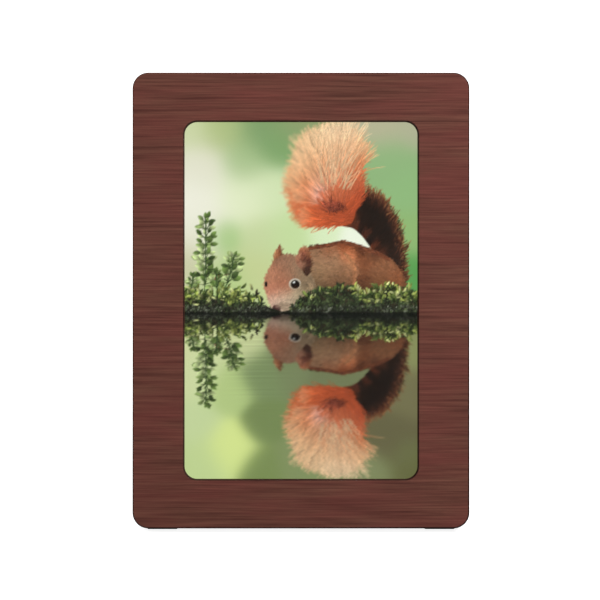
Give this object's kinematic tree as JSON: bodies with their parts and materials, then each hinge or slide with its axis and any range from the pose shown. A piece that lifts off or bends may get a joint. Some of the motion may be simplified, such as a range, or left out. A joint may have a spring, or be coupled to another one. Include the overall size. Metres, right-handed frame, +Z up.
{
  "type": "digital photo frame",
  "caption": "Upright digital picture frame with a wide wooden front, a colour screen, a slim rear housing, side buttons and sockets, and a fold-out leg.",
  "frame": {"origin": "on the table under the middle of the footprint, with the leg open and the front leaning back", "axes": "+X to the right seen from the front, +Y from the front towards the back, +Z up"},
  "size_m": [0.203, 0.1006, 0.2701],
  "materials": {
    "acrylic": "clear moulded",
    "black_plastic": "fine spark-eroded texture",
    "board_green": "solder resist",
    "chip_black": "moulded epoxy",
    "display": "lit picture behind clear glass",
    "flex_film": "amber polyimide",
    "foam": "matt foam tape",
    "glass": "clear, low reflection",
    "rubber": "matt",
    "steel": "zinc plated sheet",
    "white_plastic": "smooth",
    "wood": "satin lacquered veneer, fine grain, reddish brown"
  },
  "bodies": {
    "frame": {"antenna_cable": "chip_black", "board_screw_1": "steel", "board_screw_2": "steel", "board_screw_3": "steel", "bracket_screw_1": "steel", "bracket_screw_2": "steel", "bracket_screw_3": "steel", "bracket_screw_4": "steel", "button_board": "board_green", "card_socket": "steel", "cover_glass": "glass", "cover_screw_1": "steel", "cover_screw_2": "steel", "cover_screw_3": "steel", "cover_screw_4": "steel", "dc_jack": "black_plastic", "display_bracket": "steel", "display_connector": "white_plastic", "display_gasket": "foam", "foot_left": "rubber", "foot_right": "rubber", "front_frame": "wood", "hanger_plate_landscape": "steel", "hanger_plate_portrait": "steel", "hinge_pin": "steel", "hinge_washer_left": "white_plastic", "hinge_washer_right": "white_plastic", "lcd_back_tray": "steel", "lcd_cell": "display", "lcd_flex": "flex_film", "lcd_mould_frame": "white_plastic", "led_bar": "white_plastic", "light_guide": "acrylic", "main_board": "board_green", "memory_chip": "chip_black", "optical_film": "white_plastic", "power_switch": "chip_black", "processor": "chip_black", "rear_cover": "black_plastic", "reflector_sheet": "white_plastic", "shield_can": "steel", "speaker_cable_left": "chip_black", "speaker_cable_right": "chip_black", "speaker_left": "chip_black", "speaker_right": "chip_black", "touch_flex": "flex_film", "usb_shell": "steel", "usb_tongue": "white_plastic", "volume_down_switch": "chip_black", "volume_up_switch": "chip_black", "wifi_antenna": "flex_film", "wifi_module": "steel"},
    "stand": {"stand_leg": "black_plastic", "leg_foot": "rubber"},
    "power_button": {"power_button": "black_plastic", "power_plunger": "white_plastic"},
    "volume_up_button": {"volume_up_button": "black_plastic", "volume_up_plunger": "white_plastic"},
    "volume_down_button": {"volume_down_button": "black_plastic", "volume_down_plunger": "white_plastic"}
  },
  "joints": [
    {"name": "leg_hinge", "type": "hinge", "parent": "frame", "child": "stand", "pos_m": [0, 0.00998, 0.15144], "axis": [1, 0, 0], "range_deg": [-28, 0]},
    {"name": "power_press", "type": "slide", "parent": "frame", "child": "power_button", "axis": [-1, 0, 0], "range_m": [0, 0.00035], "stiffness_N_per_m": 1500},
    {"name": "volume_up_press", "type": "slide", "parent": "frame", "child": "volume_up_button", "axis": [-1, 0, 0], "range_m": [0, 0.00035], "stiffness_N_per_m": 1500},
    {"name": "volume_down_press", "type": "slide", "parent": "frame", "child": "volume_down_button", "axis": [-1, 0, 0], "range_m": [0, 0.00035], "stiffness_N_per_m": 1500}
  ]
}
